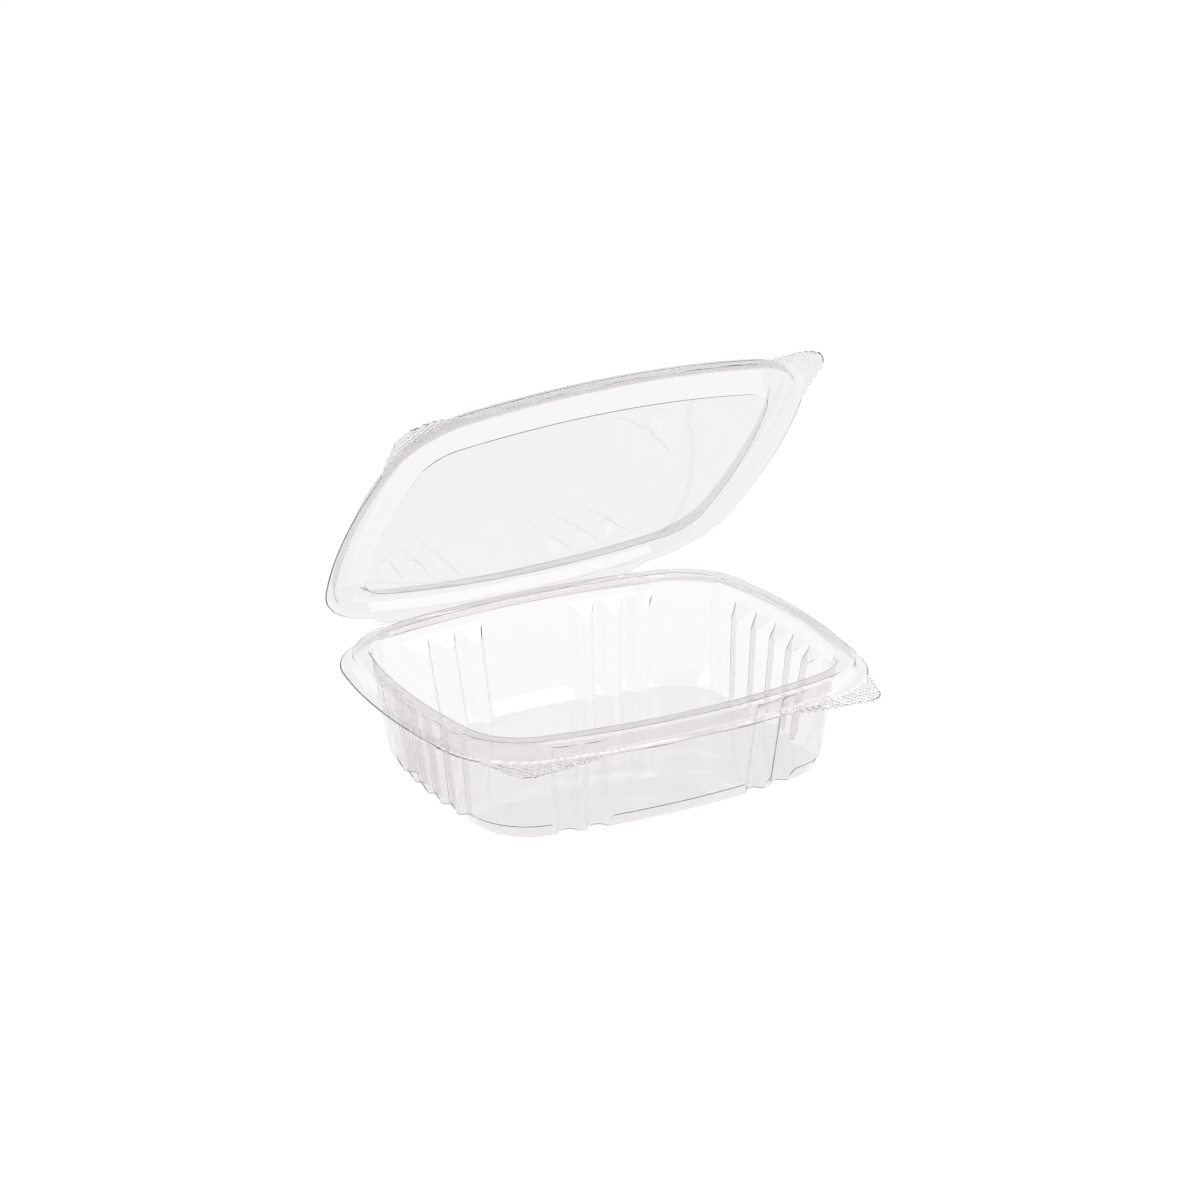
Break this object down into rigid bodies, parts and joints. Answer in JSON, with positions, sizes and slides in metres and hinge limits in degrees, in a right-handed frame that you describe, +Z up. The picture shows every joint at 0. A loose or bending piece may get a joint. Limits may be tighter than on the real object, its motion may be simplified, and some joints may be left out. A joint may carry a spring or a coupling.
{
  "type": "plastic clamshell pack",
  "caption": "Clear thermoformed food pack: a notched tray with a bowed rim and a shallow lid on a living hinge, standing part open, with pull tabs at the front corners.",
  "frame": {"origin": "centre of the tray's flat foot, on the surface that the pack stands on", "axes": "+X along the hinge line, +Y from the front towards the hinge, +Z up out of the tray"},
  "size_m": [0.184, 0.1607, 0.1582],
  "materials": {
    "clear_sheet": "clear glossy thermoformed sheet"
  },
  "bodies": {
    "tray_half": {"base_tray": "clear_sheet"},
    "lid_half": {"lid": "clear_sheet"}
  },
  "joints": [
    {"name": "lid_hinge", "type": "hinge", "parent": "tray_half", "child": "lid_half", "pos_m": [0, 0.0801, 0.03815], "axis": [-1, 0, 0], "range_deg": [-49, 131], "stiffness_Nm_per_rad": 0.023, "springref_deg": 17.82}
  ]
}
